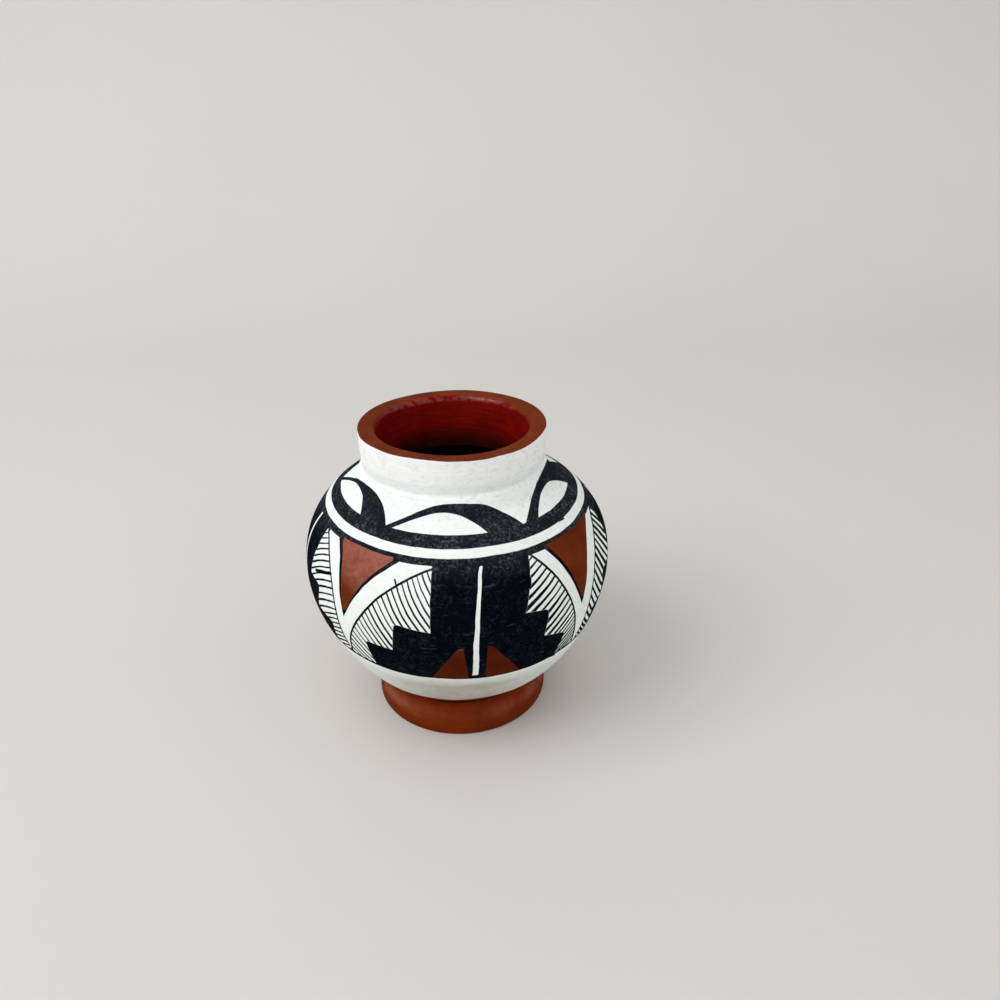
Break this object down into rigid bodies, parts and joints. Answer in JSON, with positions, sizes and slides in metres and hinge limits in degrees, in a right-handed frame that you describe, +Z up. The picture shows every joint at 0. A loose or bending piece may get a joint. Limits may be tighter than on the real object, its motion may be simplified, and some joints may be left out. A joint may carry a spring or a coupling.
{
  "type": "footed seed pot",
  "caption": "Small hand-built clay jar with a bulging painted body, a wide short neck with a rounded lip and a hollowed foot, for holding seeds.",
  "frame": {"origin": "middle of the foot's resting face, on the table", "axes": "+Z up along the jar's turning axis; -Y faces the viewer of the picture, +X to the viewer's right"},
  "size_m": [0.076, 0.076, 0.077],
  "materials": {
    "terracotta": "burnished red-brown clay, softly glossy with streaks left by the polishing stone",
    "white_slip": "thin brushed white slip, matt to satin, with faint grey scuffs; brushed deep red inside the neck",
    "painted_slip": "white slip with hand-painted black bands, stepped blocks and fine hatching and brown-red fields; deep red inside"
  },
  "bodies": {
    "root": {"foot": "terracotta", "base_bowl": "white_slip", "belly_wall": "painted_slip", "shoulder_wall": "painted_slip", "neck_collar": "white_slip", "rim_coil": "terracotta"}
  },
  "joints": []
}
